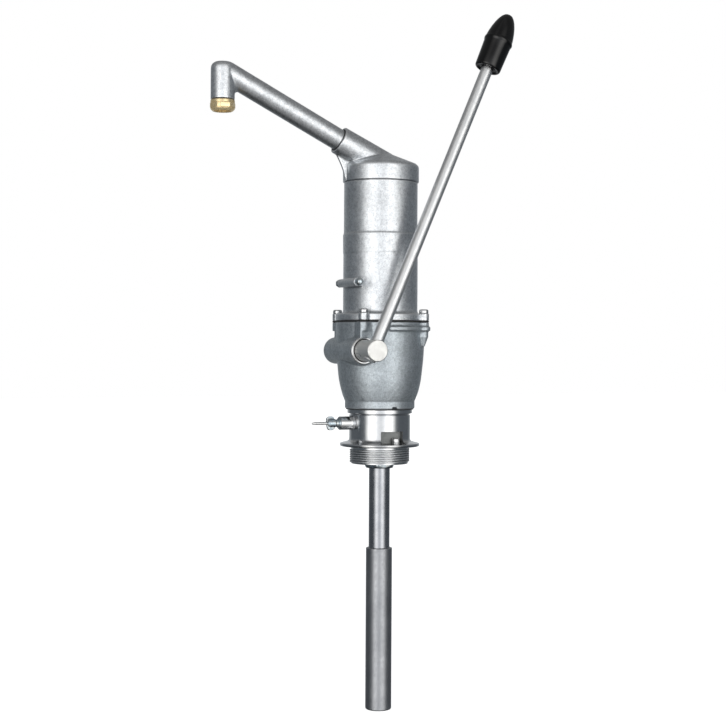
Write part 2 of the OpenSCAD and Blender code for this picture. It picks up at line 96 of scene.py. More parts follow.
def link(tree, source, target):
    tree.links.new(source, target)


def ramp_node(tree, stops, value=None):
    """A colour ramp with grey levels or colours at the given places."""
    ramp = tree.nodes.new("ShaderNodeValToRGB")
    elements = ramp.color_ramp.elements
    while len(elements) < len(stops):
        elements.new(0.5)
    for element, (place, level) in zip(elements, stops):
        element.position = place
        element.color = (level, level, level, 1) if isinstance(level, (int, float)) else (*level, 1)
    if value is not None:
        link(tree, value, ramp.inputs["Fac"])
    return ramp.outputs["Color"]


def math_node(tree, operation, a, b=None):
    node = tree.nodes.new("ShaderNodeMath")
    node.operation = operation
    for socket, value in zip(node.inputs, (a, b)):
        if isinstance(value, (int, float)):
            socket.default_value = value
        elif value is not None:
            link(tree, value, socket)
    return node.outputs[0]


def make_world():
    """White for the camera. Metal sees two soft boxes beside the camera and a weaker one behind."""
    world = bpy.data.worlds.new("studio")
    bpy.context.scene.world = world
    world.use_nodes = True
    tree = world.node_tree
    tree.nodes.clear()
    place = tree.nodes.new("ShaderNodeTexCoord").outputs["Generated"]
    parts = tree.nodes.new("ShaderNodeSeparateXYZ")
    link(tree, place, parts.inputs[0])
    flat = tree.nodes.new("ShaderNodeCombineXYZ")
    link(tree, parts.outputs["X"], flat.inputs["X"])
    link(tree, parts.outputs["Y"], flat.inputs["Y"])
    level = tree.nodes.new("ShaderNodeVectorMath")
    level.operation = "NORMALIZE"
    link(tree, flat.outputs[0], level.inputs[0])
    towards = tree.nodes.new("ShaderNodeVectorMath")
    towards.operation = "DOT_PRODUCT"
    towards.inputs[1].default_value = Matrix.Rotation(LIGHT_TURN, 3, "Z") @ TO_CAMERA
    link(tree, level.outputs[0], towards.inputs[0])
    around = math_node(tree, "MULTIPLY_ADD", towards.outputs["Value"], 0.5)
    around.node.inputs[2].default_value = 0.5
    ring = ramp_node(tree, [
        (0.0, (0.24, 0.25, 0.26)), (0.06, (0.15, 0.16, 0.165)), (0.15, (0.05, 0.056, 0.062)),
        (0.6, (0.046, 0.052, 0.058)), (0.74, (0.075, 0.082, 0.088)), (0.83, (0.6, 0.6, 0.59)),
        (0.9, (1.02, 1.01, 0.985)), (0.96, (1.0, 0.99, 0.975)), (0.985, (0.62, 0.625, 0.63)),
        (1.0, (0.46, 0.47, 0.48))], around)
    height = math_node(tree, "MULTIPLY_ADD", parts.outputs["Z"], 0.5)
    height.node.inputs[2].default_value = 0.5
    low_high = ramp_node(tree, [
        (0.0, 0.1), (0.22, 0.3), (0.34, 0.75), (0.45, 1.0), (0.54, 1.0), (0.64, 0.75), (0.74, 0.28),
        (0.88, 0.06)], height)
    above = ramp_node(tree, [(0.5, 0.0), (0.7, 0.06), (0.84, 0.08), (1.0, 0.09)], height)
    lit = tree.nodes.new("ShaderNodeMix")
    lit.data_type = "RGBA"
    lit.blend_type = "MULTIPLY"
    lit.inputs["Factor"].default_value = 1
    link(tree, ring, lit.inputs["A"])
    link(tree, low_high, lit.inputs["B"])
    total = tree.nodes.new("ShaderNodeMix")
    total.data_type = "RGBA"
    total.blend_type = "ADD"
    total.inputs["Factor"].default_value = 1
    link(tree, lit.outputs["Result"], total.inputs["A"])
    link(tree, above, total.inputs["B"])
    studio = tree.nodes.new("ShaderNodeBackground")
    studio.inputs["Strength"].default_value = 2.5
    link(tree, total.outputs["Result"], studio.inputs["Color"])
    backdrop = tree.nodes.new("ShaderNodeBackground")
    backdrop.inputs["Color"].default_value = (1, 1, 1, 1)
    seen = tree.nodes.new("ShaderNodeLightPath")
    choose = tree.nodes.new("ShaderNodeMixShader")
    link(tree, seen.outputs["Is Camera Ray"], choose.inputs["Fac"])
    link(tree, studio.outputs[0], choose.inputs[1])
    link(tree, backdrop.outputs[0], choose.inputs[2])
    out = tree.nodes.new("ShaderNodeOutputWorld")
    link(tree, choose.outputs[0], out.inputs["Surface"])


def make_floor(level):
    mesh = bpy.data.meshes.new("floor")
    corners = [(x * FLOOR_HALF, y * FLOOR_HALF, level) for x, y in ((-1, -1), (1, -1), (1, 1), (-1, 1))]
    mesh.from_pydata(corners, [], [(0, 1, 2, 3)])
    floor = bpy.data.objects.new("floor", mesh)
    bpy.context.scene.collection.objects.link(floor)
    paint = bpy.data.materials.new("floor_white")
    paint.use_nodes = True
    shader = paint.node_tree.nodes["Principled BSDF"]
    shader.inputs["Base Color"].default_value = (0.86, 0.86, 0.86, 1)
    shader.inputs["Roughness"].default_value = 0.9
    shader.inputs["Emission Color"].default_value = (1, 1, 1, 1)
    shader.inputs["Emission Strength"].default_value = 0.85
    mesh.materials.append(paint)
    floor.visible_glossy = False


# ---- Mesh tools --------------------------------------------------------------

def new_object(name, mesh):
    thing = bpy.data.objects.new(name, mesh)
    bpy.context.scene.collection.objects.link(thing)
    return thing


def mesh_object(name, points, faces):
    """A smooth-shaded object from points in millimetres."""
    mesh = bpy.data.meshes.new(name)
    mesh.from_pydata((np.asarray(points) * MM).tolist(), [], faces)
    mesh.validate()
    tidy = bmesh.new()
    tidy.from_mesh(mesh)
    bmesh.ops.remove_doubles(tidy, verts=tidy.verts, dist=1e-7)
    bmesh.ops.recalc_face_normals(tidy, faces=tidy.faces)
    tidy.to_mesh(mesh)
    tidy.free()
    mesh.polygons.foreach_set("use_smooth", [True] * len(mesh.polygons))
    return new_object(name, mesh)


def along(origin, direction):
    """A transform that lays the local Z axis along a direction, from an origin in millimetres."""
    turn = Vector(direction).to_track_quat("Z", "Y").to_matrix().to_4x4()
    return Matrix.Translation(Vector(origin)) @ turn


def soften(outline, radius, closed=True):
    """Rounds the corners of an outline and keeps the flats between them flat."""
    points = [np.array(p, float) for p in outline]
    out = []
    for i, corner in enumerate(points):
        if not closed and i in (0, len(points) - 1):
            out.append(corner)
            continue
        before, after = points[i - 1], points[(i + 1) % len(points)]
        back, on = before - corner, after - corner
        back_len, on_len = np.linalg.norm(back), np.linalg.norm(on)
        reach = min(radius, back_len * 0.4, on_len * 0.4)
        start, end = corner + back / back_len * reach, corner + on / on_len * reach
        if reach * 2.4 < back_len * 0.5:
            out.append(corner + back / back_len * reach * 1.6)
        for t in np.linspace(0, 1, 4):
            out.append((1 - t) ** 2 * start + 2 * t * (1 - t) * corner + t * t * end)
        if reach * 2.4 < on_len * 0.5:
            out.append(corner + on / on_len * reach * 1.6)
    return out


def shell(name, rows, place=Matrix.Identity(4), closed=True, segments=160):
    """A solid from rings of [radius, height], where either may change round the ring."""
    turn = np.arange(segments) * 2 * math.pi / segments
    points, faces = [], []
    for radius, height in rows:
        radius, height = np.broadcast_to(radius, segments), np.broadcast_to(height, segments)
        points.append(np.stack([radius * np.cos(turn), radius * np.sin(turn), height], 1))
    count = len(rows)
    for i in range(count if closed else count - 1):
        j = (i + 1) % count
        for k in range(segments):
            k2 = (k + 1) % segments
            faces.append((i * segments + k, i * segments + k2, j * segments + k2, j * segments + k))
    points = np.concatenate(points)
    spin = np.array(place.to_3x3())
    points = points @ spin.T + np.array(place.translation)
    return mesh_object(name, points, faces)


def hexagon(across_flats, segments, corner, turned_by=0):
    """Radius of a hexagon with rounded corners, round the ring."""
    sharpness = 6
    turn = np.arange(segments) * 2 * math.pi / segments + math.radians(turned_by)
    folded = np.abs((turn % (math.pi / 3)) - math.pi / 6)
    away = math.pi / 6 - folded
    flat = across_flats / 2 / np.cos(away)
    limit = across_flats / math.sqrt(3) - corner
    return limit - np.logaddexp(0, (limit - flat) * sharpness) / sharpness


def hex_rows(across_flats, height, bore, segments):
    """Rings of a bored hexagon nut from height 0 up, with round chamfers at both ends."""
    wall = hexagon(across_flats, segments, 0.03 * across_flats)
    end_r = across_flats / 2 * 0.94
    drop = np.maximum(0, wall - end_r) * math.tan(math.radians(28))
    return [(bore, 0), (end_r, 0), (wall - 0.25, drop - 0.1), (wall, drop + 0.2),
            (wall, height - drop - 0.35), (wall, height - drop - 0.15), (wall - 0.15, height - drop + 0.02),
            (wall - 0.5, height - drop + 0.22), (end_r, height), (end_r * 0.9, height), (bore, height)]


def merged(name, things):
    """Joins objects into one mesh."""
    whole = bmesh.new()
    for thing in things:
        whole.from_mesh(thing.data)
    mesh = bpy.data.meshes.new(name)
    whole.to_mesh(mesh)
    whole.free()
    for thing in things:
        bpy.data.objects.remove(thing)
    return new_object(name, mesh)


def applied(thing):
    """Replaces an object's mesh by what its modifiers make of it."""
    bpy.context.view_layer.update()
    graph = bpy.context.evaluated_depsgraph_get()
    mesh = bpy.data.meshes.new_from_object(thing.evaluated_get(graph))
    thing.modifiers.clear()
    old = thing.data
    thing.data = mesh
    bpy.data.meshes.remove(old)


def boolean(thing, tool, operation):
    change = thing.modifiers.new("boolean", "BOOLEAN")
    change.operation = operation
    change.solver = "EXACT"
    change.object = tool
    applied(thing)
    bpy.data.objects.remove(tool)


def grid_of(mesh):
    """Vertex places in millimetres, edges, and each vertex's number of neighbours."""
    places = np.empty(len(mesh.vertices) * 3)
    mesh.vertices.foreach_get("co", places)
    edges = np.empty(len(mesh.edges) * 2, np.int32)
    mesh.edges.foreach_get("vertices", edges)
    edges = edges.reshape(-1, 2)
    count = np.bincount(edges.ravel(), minlength=len(mesh.vertices)).clip(1)
    return places.reshape(-1, 3) / MM, edges, count


def normals_of(mesh, places):
    """Vertex normals once the vertices are moved to the given places."""
    mesh.vertices.foreach_set("co", (places * MM).ravel())
    mesh.update()
    normals = np.empty(len(mesh.vertices) * 3)
    mesh.vertex_normals.foreach_get("vector", normals)
    return normals.reshape(-1, 3)


def spread(values, edges, count):
    """Average of each vertex's neighbours."""
    total = np.empty_like(values)
    columns = values.reshape(len(values), -1)
    out = total.reshape(len(values), -1)
    for c in range(columns.shape[1]):
        out[:, c] = np.bincount(edges[:, 0], columns[edges[:, 1], c], len(values))
        out[:, c] += np.bincount(edges[:, 1], columns[edges[:, 0], c], len(values))
        out[:, c] /= count
    return total


def casting(name, node, voxel, rounds, hold, relief, more=None):
    """A cast skin over a CAD node: inner corners filled with fillets, outer ones worn a little round.

    The voxel and the relief, the height of the skin's unevenness, are in millimetres. Inner corners are
    filled until they are gentler than hold, a share of the voxel. Another mesh may be fused in first.
    """
    mesh = nodes[node].data.copy()
    weld = bmesh.new()
    weld.from_mesh(mesh)
    if more:
        weld.from_mesh(more)
    bmesh.ops.remove_doubles(weld, verts=weld.verts, dist=2e-6)
    weld.to_mesh(mesh)
    weld.free()
    thing = new_object(name, mesh)
    remesh = thing.modifiers.new("remesh", "REMESH")
    remesh.mode = "VOXEL"
    remesh.voxel_size = voxel * MM
    remesh.use_smooth_shade = True
    applied(thing)
    mesh = thing.data
    places, edges, count = grid_of(mesh)
    for step in range(rounds):
        normals = normals_of(mesh, places)
        lean = spread(places, edges, count) - places
        out = (lean * normals).sum(1)
        fill = np.clip((out / voxel - hold) / hold, 0, 1)
        if step < 2:
            fill = np.maximum(fill, 0.5)
        places = places + lean * (0.6 * fill)[:, None]
    normals = normals_of(mesh, places)
    lean = ((spread(places, edges, count) - places) * normals).sum(1) / voxel
    edge = lean
    for _ in range(2):
        edge = spread(edge, edges, count)
    wear = np.clip(-edge * 12, 0, 1)
    # Darker in concave hollows and inner corners, spread a little round them; the cast finish darkens its
    # colour there.
    hollow_darkening = np.clip(lean * 10, 0, 1)
    for _ in range(3):
        hollow_darkening = np.maximum(hollow_darkening * 0.6, spread(hollow_darkening, edges, count))
    if relief:
        bumps = np.array([noise.noise(Vector(p) * 0.045) + 0.35 * noise.noise(Vector(p) * 0.17)
                          for p in places])
        places = places + normals * (bumps * relief)[:, None]
    mesh.vertices.foreach_set("co", (places * MM).ravel())
    for label, values in (("wear", wear), ("hollow_darkening", hollow_darkening)):
        field = mesh.attributes.new(label, "FLOAT", "POINT")
        field.data.foreach_set("value", values.astype(np.float32))
    mesh.update()
    return thing


# ---- Materials ---------------------------------------------------------------

class Finish:
    """A node material built round one Principled shader."""

    def __init__(self, name):
        self.material = bpy.data.materials.new(name)
        self.material.use_nodes = True
        self.tree = self.material.node_tree
        self.shader = self.tree.nodes["Principled BSDF"]
        self.place = self.tree.nodes.new("ShaderNodeTexCoord").outputs["Object"]

    def set(self, **values):
        for label, value in values.items():
            self.shader.inputs[label.replace("_", " ")].default_value = value
        return self

    def mapped(self, scale=(1, 1, 1), turn=(0, 0, 0)):
        node = self.tree.nodes.new("ShaderNodeMapping")
        node.vector_type = "POINT"
        node.inputs["Rotation"].default_value = [math.radians(v) for v in turn]
        node.inputs["Scale"].default_value = scale
        link(self.tree, self.place, node.inputs["Vector"])
        return node.outputs[0]

    def noise(self, size_mm, detail=3, rough=0.55, scale=(1, 1, 1), turn=(0, 0, 0)):
        """Noise whose lumps are about size_mm across, stretched where scale is below 1."""
        node = self.tree.nodes.new("ShaderNodeTexNoise")
        node.inputs["Scale"].default_value = 1 / (size_mm * MM)
        node.inputs["Detail"].default_value = detail
        node.inputs["Roughness"].default_value = rough
        link(self.tree, self.mapped(scale, turn), node.inputs["Vector"])
        return node.outputs["Fac"]

    def ramp(self, value, stops):
        return ramp_node(self.tree, stops, value)

    def field(self, label):
        node = self.tree.nodes.new("ShaderNodeAttribute")
        node.attribute_name = label
        return node.outputs["Fac"]

    def within(self, radius, low, high):
        """One where a point is nearer the pump axis than the radius and between the two heights."""
        parts = self.tree.nodes.new("ShaderNodeSeparateXYZ")
        link(self.tree, self.place, parts.inputs[0])
        x, y, z = parts.outputs
        x_square = math_node(self.tree, "MULTIPLY", x, x)
        square = math_node(self.tree, "ADD", x_square, math_node(self.tree, "MULTIPLY", y, y))
        near = math_node(self.tree, "LESS_THAN", square, (radius * MM) ** 2)
        over = math_node(self.tree, "GREATER_THAN", z, low * MM)
        under = math_node(self.tree, "LESS_THAN", z, high * MM)
        return math_node(self.tree, "MULTIPLY", near, math_node(self.tree, "MULTIPLY", over, under))

    def mix(self, a, b, factor, blend="MIX"):
        node = self.tree.nodes.new("ShaderNodeMix")
        node.data_type = "RGBA"
        node.blend_type = blend
        for label, value in (("A", a), ("B", b), ("Factor", factor)):
            socket = node.inputs[label]
            if isinstance(value, (int, float)):
                socket.default_value = value if label == "Factor" else (value, value, value, 1)
            elif isinstance(value, tuple):
                socket.default_value = (*value, 1)
            else:
                link(self.tree, value, socket)
        return node.outputs["Result"]

    def bump(self, layers):
        """Bump layers as (height value, depth in millimetres)."""
        normal = None
        for height, depth in layers:
            node = self.tree.nodes.new("ShaderNodeBump")
            node.inputs["Strength"].default_value = 1
            node.inputs["Distance"].default_value = depth * MM
            link(self.tree, height, node.inputs["Height"])
            if normal is not None:
                link(self.tree, normal, node.inputs["Normal"])
            normal = node.outputs["Normal"]
        link(self.tree, normal, self.shader.inputs["Normal"])
        return self

    def colour(self, socket):
        link(self.tree, socket, self.shader.inputs["Base Color"])
        return self

    def roughness(self, socket):
        link(self.tree, socket, self.shader.inputs["Roughness"])
        return self


def cast_aluminium(name, shade, low, high, metallic=1.0):
    """Blasted casting with its overall tint and the range of its roughness."""
    f = Finish(name).set(Metallic=metallic)
    speckle = f.noise(1.5, 4, 0.65)
    cloud = f.noise(26, 3)
    blotch = f.noise(4, 4, 0.7)
    grain = f.noise(0.55, 3, 0.6)
    tone = f.ramp(speckle, [(0.3, (0.60, 0.625, 0.65)), (0.5, (0.84, 0.86, 0.875)),
                            (0.66, (0.97, 0.975, 0.98))])
    tone = f.mix(tone, f.ramp(cloud, [(0.35, 0.86), (0.65, 1.0)]), 0.8, "MULTIPLY")
    tone = f.mix(tone, f.ramp(blotch, [(0.36, 0.7), (0.58, 1.0)]), 0.7, "MULTIPLY")
    tone = f.mix(tone, (0.86, 0.865, 0.87), f.ramp(f.field("wear"), [(0.15, 0.0), (0.8, 0.75)]))
    # Colour darker in concave hollows and inner corners, from the field that the casting stores.
    tone = f.mix(tone, (0.20, 0.21, 0.22), f.ramp(f.field("hollow_darkening"), [(0.1, 0.0), (0.9, 0.55)]))
    f.colour(f.mix(tone, shade, 1.0, "MULTIPLY"))
    f.roughness(f.ramp(f.noise(2.6, 3), [(0.3, low), (0.7, high)]))
    return f.bump([(cloud, 0.25), (blotch, 0.17), (speckle, 0.13), (grain, 0.05)]).material


def machined_aluminium():
    """Turned bright. Inside the neck's pocket the rough cast skin is left, with its colour darkened as
    painted shade.
    """
    f = Finish("machined_aluminium").set(Metallic=1.0)
    rings = f.noise(0.35, 2, 0.6, scale=(0.02, 0.02, 1))
    wide = f.noise(3.2, 2, 0.6, scale=(0.03, 0.03, 1))
    cloud = f.noise(14, 3)
    tone = f.ramp(cloud, [(0.3, (0.57, 0.58, 0.60)), (0.7, (0.67, 0.675, 0.68))])
    tone = f.mix(tone, f.ramp(rings, [(0.3, 0.9), (0.7, 1.0)]), 0.6, "MULTIPLY")
    pocket = f.within(40.45, 3.5, 21.6)
    # Inside the pocket: rough cast skin, its dark colour partly the skin's own tone and partly painted shade.
    skin_tone_and_painted_shade = f.ramp(f.noise(1.2, 4, 0.65), [(0.35, (0.22, 0.23, 0.23)), (0.65, (0.46, 0.47, 0.47))])
    f.colour(f.mix(tone, skin_tone_and_painted_shade, pocket))
    f.roughness(f.mix(f.ramp(f.noise(1.4, 3), [(0.3, 0.14), (0.7, 0.22)]), 0.6, pocket))
    return f.bump([(wide, 0.02), (rings, 0.01), (f.mix(0.5, f.noise(0.8, 3), pocket), 0.12)]).material


def cut_thread():
    """Chased thread: duller than the turned parts, with painted shade in its grooves."""
    f = Finish("cut_thread").set(Metallic=1.0)
    tone = f.ramp(f.noise(3, 4, 0.65), [(0.3, (0.52, 0.54, 0.56)), (0.7, (0.78, 0.79, 0.80))])
    # Painted shade: near-black colour below radius 39.3 darkens the thread's grooves.
    f.colour(f.mix(tone, (0.12, 0.125, 0.13), f.within(39.3, -30, 0)))
    f.roughness(f.ramp(f.noise(1.5, 3), [(0.3, 0.38), (0.7, 0.55)]))
    return f.bump([(f.noise(0.9, 3), 0.03)]).material


def drawn_steel(name, dark, bright, rough, turn=(0, 0, 0), stain=0.0):
    """Bar or tube with fine lines along its length."""
    f = Finish(name).set(Metallic=1.0)
    lines = f.noise(0.3, 2, 0.6, scale=(1, 1, 0.015), turn=turn)
    patches = f.noise(22, 3)
    tone = f.ramp(patches, [(0.3, dark), (0.7, bright)])
    tone = f.mix(tone, f.ramp(lines, [(0.3, 0.92), (0.7, 1.0)]), 0.7, "MULTIPLY")
    if stain:
        spots = f.ramp(f.noise(5, 5, 0.7), [(0.6, 0.0), (0.75, stain)])
        tone = f.mix(tone, tuple(0.45 * v for v in dark), spots)
    f.colour(tone)
    f.roughness(f.ramp(f.noise(4, 4, 0.65), [(0.3, rough * 0.8), (0.7, rough * 1.25)]))
    return f.bump([(lines, 0.008)]).material


def zinc_steel():
    f = Finish("zinc_steel").set(Metallic=1.0)
    hue = f.noise(3.5, 3)
    tone = f.ramp(hue, [(0.3, (0.42, 0.52, 0.60)), (0.55, (0.58, 0.63, 0.66)), (0.75, (0.68, 0.67, 0.62))])
    f.colour(tone)
    f.roughness(f.ramp(f.noise(0.8, 3), [(0.3, 0.2), (0.7, 0.38)]))
    return f.bump([(f.noise(0.5, 3), 0.02)]).material


def copper_alloy(name, dark, bright, rough, tarnish, metallic=1.0):
    f = Finish(name).set(Metallic=metallic)
    lines = f.noise(0.3, 2, 0.6, scale=(0.04, 0.04, 1))
    tone = f.ramp(f.noise(6, 3), [(0.3, dark), (0.7, bright)])
    spots = f.ramp(f.noise(1.6, 4, 0.7), [(0.58, 0.0), (0.76, tarnish)])
    tone = f.mix(tone, tuple(0.35 * v for v in dark), spots)
    f.colour(tone)
    f.roughness(f.ramp(f.noise(1.2, 3), [(0.3, rough * 0.75), (0.7, rough * 1.3)]))
    return f.bump([(lines, 0.012)]).material


def moulded(name, dark, bright, low, high, grain_mm, depth, specular=0.5):
    """Rubber or plastic with a moulded skin."""
    f = Finish(name)
    f.set(Specular_IOR_Level=specular)
    f.colour(f.ramp(f.noise(7, 3), [(0.3, dark), (0.7, bright)]))
    f.roughness(f.ramp(f.noise(2.5, 4, 0.65), [(0.3, low), (0.7, high)]))
    return f.bump([(f.noise(grain_mm, 3), depth)]).material


def make_finishes():
    """Every finish by its name. The lever's lines run along the lever."""
    reach = box_mm("lever_grip")[1] - box_mm("lever_hub")[1]
    lever_turn = (0, math.degrees(math.atan2(reach[0], reach[2])), 0)
    return {
        "cast_aluminium": cast_aluminium("cast_aluminium", (0.975, 0.985, 1.0), 0.34, 0.48),
        # The bowl's finish: bluer and duller than the casing's, with its darker tint partly painted shade.
        "dull_casting_with_painted_shade": cast_aluminium("dull_casting_with_painted_shade", (0.665, 0.71, 0.74), 0.4, 0.54, 0.92),
        "machined_aluminium": machined_aluminium(),
        "cut_thread": cut_thread(),
        "bright_steel": drawn_steel("bright_steel", (0.66, 0.665, 0.67), (0.76, 0.765, 0.77), 0.3),
        "hub_steel": drawn_steel("hub_steel", (0.92, 0.915, 0.89), (0.98, 0.975, 0.95), 0.5),
        "riser_steel": drawn_steel("riser_steel", (0.35, 0.36, 0.385), (0.43, 0.44, 0.465), 0.28),
        "lever_steel": drawn_steel("lever_steel", (0.80, 0.81, 0.82), (0.90, 0.905, 0.91), 0.42, lever_turn),
        "tube_steel": drawn_steel("tube_steel", (0.34, 0.35, 0.37), (0.42, 0.43, 0.45), 0.42, stain=0.2),
        "zinc_steel": zinc_steel(),
        "brass": copper_alloy("brass", (0.74, 0.58, 0.32), (0.87, 0.72, 0.44), 0.28, 0.25, 0.74),
        "bronze": copper_alloy("bronze", (0.48, 0.33, 0.16), (0.62, 0.46, 0.26), 0.34, 0.5),
        "black_rubber": moulded("black_rubber", (0.012, 0.012, 0.013), (0.03, 0.03, 0.031), 0.55, 0.75,
                                0.6, 0.03),
        "grip_plastic": moulded("grip_plastic", (0.001, 0.001, 0.0013), (0.003, 0.003, 0.0034), 0.07, 0.12,
                                1.1, 0.004, 0.42),
        "nylon": moulded("nylon", (0.70, 0.68, 0.61), (0.80, 0.78, 0.72), 0.4, 0.55, 0.7, 0.02),
    }


def finish_with(thing, finish, body, slot, *replaced):
    """Gives a piece its finish, its body and the CAD nodes it stands in for. Its slot argument is not used.
    """
    thing.data.materials.clear()
    thing.data.materials.append(finishes[finish])
    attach(thing, body)
    if replaced:
        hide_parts(*replaced)


# ---- Pieces ------------------------------------------------------------------

# Places and radii of the pieces are in millimetres.
UP = (0, 0, 1)
LEVER_LEAN = math.radians(23.6)
GRIP_START = 408
FLANGE_BOLT = 43.5
LOCK_SCREW = (8.6, -33, 0)
THREAD_CORE = 38.15
THREAD_CREST = 40


def elbow_fillet():
    """Fills the corner under the elbow, one section after another across the spout."""
    ring = sum(box_mm("spout_seal")) / 2
    leg_x = (sum(box_mm("nozzle_ring")) / 2)[0]
    slope, leg_radius, pipe_radius, radius = math.radians(26.1), 15.4, 14.4, 5.0
    overlap, fade_out = 1.2, 13
    half = math.pi / 4 - slope / 2
    widths = np.linspace(-12, 12, 25)
    turns = np.linspace(math.pi, math.pi / 2 - slope, 9)
    points = []
    for y in widths:
        x = leg_x + math.sqrt(leg_radius ** 2 - y ** 2)
        z = ring[2] - (x - ring[0]) * math.tan(slope) - math.sqrt(pipe_radius ** 2 - y ** 2) / math.cos(slope)
        r = radius * math.sqrt(1 - (y / fade_out) ** 2)
        middle_x = x + r / math.sin(half) * math.cos(half + slope)
        middle_z = z - r / math.sin(half) * math.sin(half + slope)
        section = [(x - overlap, z + overlap)]
        section += [(middle_x + r * math.cos(a), middle_z + r * math.sin(a)) for a in turns]
        points += [(px * MM, y * MM, pz * MM) for px, pz in section]
    wide = len(turns) + 1
    faces = [tuple(range(wide)), tuple(reversed(range(len(points) - wide, len(points))))]
    for i in range(0, len(points) - wide, wide):
        faces += [(i + k, i + wide + k, i + wide + (k + 1) % wide, i + (k + 1) % wide) for k in range(wide)]
    mesh = bpy.data.meshes.new("elbow_fillet")
    mesh.from_pydata(points, [], faces)
    return mesh


def cast_pieces():
    """The four large castings, each over its CAD node."""
    for name, node, body, finish, voxel, rounds, hold, relief, more in (
            ("casing_casting", "upper_casing", "head", "cast_aluminium", 1.0, 26, 0.045, 0.12, None),
            ("bowl_casting", "pump_bowl", "head", "dull_casting_with_painted_shade", 1.0, 34, 0.04, 0.14, None),
            ("cap_casting", "spout_cap", "spout", "cast_aluminium", 0.9, 40, 0.035, 0.1, None),
            ("spout_casting", "spout_pipe", "spout", "cast_aluminium", 0.8, 60, 0.03, 0.1, elbow_fillet())):
        thing = casting(name, node, voxel, rounds, hold, relief, more)
        finish_with(thing, finish, body, "cast_aluminium", node)


def boss_ring():
    """Machined lip round the seal at the end of the shaft boss."""
    centre = sum(box_mm("shaft_seal")) / 2
    boss_end = -48.4
    outline = soften([(15.35, 3.5), (18.08, 3.5), (18.08, 1.1), (16.9, -0.15), (15.35, -0.15)], 0.25)
    ring = shell("boss_ring", outline, along((centre[0], boss_end, centre[2]), (0, 1, 0)))
    finish_with(ring, "machined_aluminium", "head", "machined_aluminium")


def grip():
    """Plastic knob round the end of the lever rod, with a bead where its cone begins."""
    hub = sum(box_mm("lever_hub")) / 2
    rod = sum(box_mm("lever_rod")) / 2
    direction = np.array((math.sin(LEVER_LEAN), 0, math.cos(LEVER_LEAN)))
    foot = np.array([hub[0], rod[1], hub[2]]) + direction * GRIP_START
    outer = [(15.2, 0), (16.4, 0.25), (17.15, 1.1), (17.5, 2.8), (17.85, 15), (18.2, 27), (18.48, 36.6),
             (18.75, 38.2), (19.3, 39.4), (19.5, 40.7), (19.3, 42.0), (18.75, 43.2), (18.5, 44.6),
             (17.7, 50.2), (16.15, 57.8), (14.0, 65.2), (11.5, 71.5), (8.8, 76.3), (5.9, 79.5), (2.9, 81.0),
             (0.01, 81.4)]
    inner = [(0.01, 43), (8.05, 43), (8.05, 2.4), (8.6, 1.4), (9.6, 1.2), (10.2, 1.6), (12.6, 1.6),
             (13.4, 0.5), (14.2, 0.05)]
    thing = shell("grip_knob", inner + outer, along(foot, direction), closed=False, segments=144)
    finish_with(thing, "grip_plastic", "lever", "grip_plastic", "lever_grip")


def nozzle():
    """Brass hose ring: two collars with a hexagon between them, and thread grooves in the bore."""
    low, high = box_mm("nozzle_ring")
    foot, top = low[2], high[2]
    segments = 192
    collar, hex_flats, hex_corner = 15.6, 30.2, 16.2
    band = np.minimum(hexagon(hex_flats, segments, 0.01, -24), hex_corner)
    bore, groove, pitch = 11.15, 12.06, 1.8
    rows = [(12.3, foot), (12.9, foot), (13.3, foot + 0.2), (15.2, foot + 2.2), (collar - 0.1, foot + 2.6),
            (collar, foot + 3), (collar, foot + 3.5), (collar - 0.2, foot + 3.8), (band - 0.5, foot + 4.0),
            (band - 0.1, foot + 4.15), (band, foot + 4.6), (band, foot + 7), (band, foot + 9.5),
            (band - 0.1, foot + 9.95), (band - 0.5, foot + 10.1), (collar - 0.2, foot + 10.3),
            (collar, foot + 10.6), (collar, foot + 12), (collar, top - 0.8), (collar - 0.2, top - 0.25),
            (14.9, top), (11, top), (11, foot + 10.2)]
    z = foot + 9.8
    while z > foot + 1.4:
        rows += [(bore, z), (groove, z - 0.45 * pitch), (groove, z - 0.55 * pitch)]
        z -= pitch
    rows += [(11.2, foot + 0.9)]
    leg_x = (low[0] + high[0]) / 2
    thing = shell("hose_ring", rows, along((leg_x, 0, 0), UP), segments=segments)
    set_smooth(thing, 35)
    finish_with(thing, "brass", "spout", "brass", "nozzle_ring")


def flange_bolts():
    """Four button-head screws with hexagon sockets, each turned to its own angle."""
    low, high = box_mm("flange_bolts")
    foot, top = low[2], high[2]
    seat = top - 5.2
    heads = []
    for number, (x, y) in enumerate(((-1, -1), (1, -1), (1, 1), (-1, 1))):
        socket = hexagon(5, 96, 0.12, 11 + number * 17)
        rows = [(0.01, foot), (2.6, foot), (3, foot + 0.5), (3, seat - 0.3), (3, seat), (5.8, seat),
                (6.1, seat + 0.15), (6.2, seat + 0.5), (6.2, seat + 2.4), (6.15, seat + 3.3),
                (5.95, seat + 4.1), (5.5, seat + 4.7), (4.8, seat + 5.05), (4.1, top), (socket + 0.25, top),
                (socket, top - 0.25), (socket, seat + 2.5), (socket * 0.9, seat + 2.4), (0.01, seat + 2.4)]
        place = (x * FLANGE_BOLT, y * FLANGE_BOLT, 0)
        heads.append(shell("bolt", rows, along(place, UP), closed=False, segments=96))
    screws = merged("flange_bolt_set", heads)
    finish_with(screws, "bright_steel", "head", "bright_steel", "flange_bolts")


